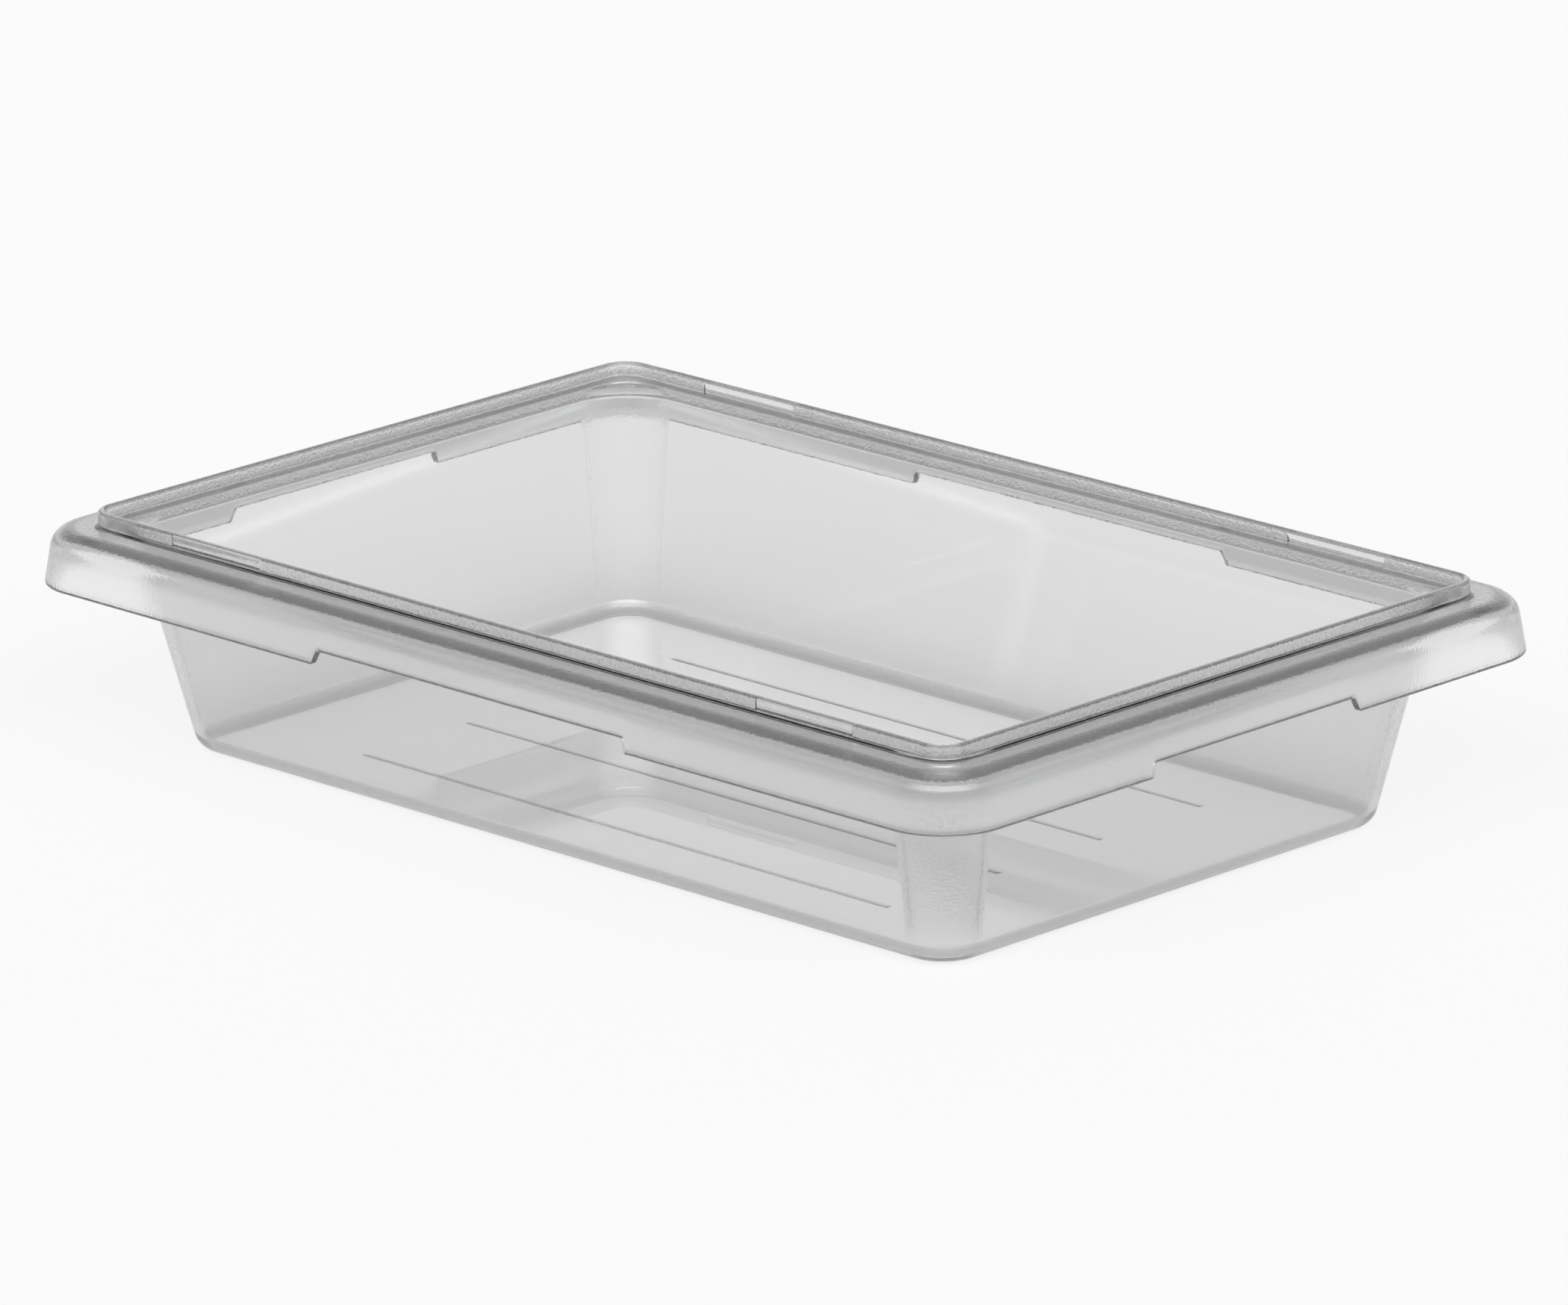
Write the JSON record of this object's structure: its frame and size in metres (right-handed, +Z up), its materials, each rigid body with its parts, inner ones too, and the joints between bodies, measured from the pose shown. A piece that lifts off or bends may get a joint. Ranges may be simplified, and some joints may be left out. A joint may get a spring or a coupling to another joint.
{
  "type": "food pan",
  "caption": "Shallow clear polycarbonate food pan, half size, with tapered walls, rounded corners, an upright lid lip and a flared rim notched for fingers.",
  "frame": {"origin": "middle of the surface the pan stands on, under the ribs of its base", "axes": "+X along the pan's length, +Y across it, +Z up"},
  "size_m": [0.4572, 0.3048, 0.0889],
  "materials": {
    "clear_polycarbonate": "clear gloss, lightly textured on the rim"
  },
  "bodies": {
    "root": {"food_pan": "clear_polycarbonate"}
  },
  "joints": []
}
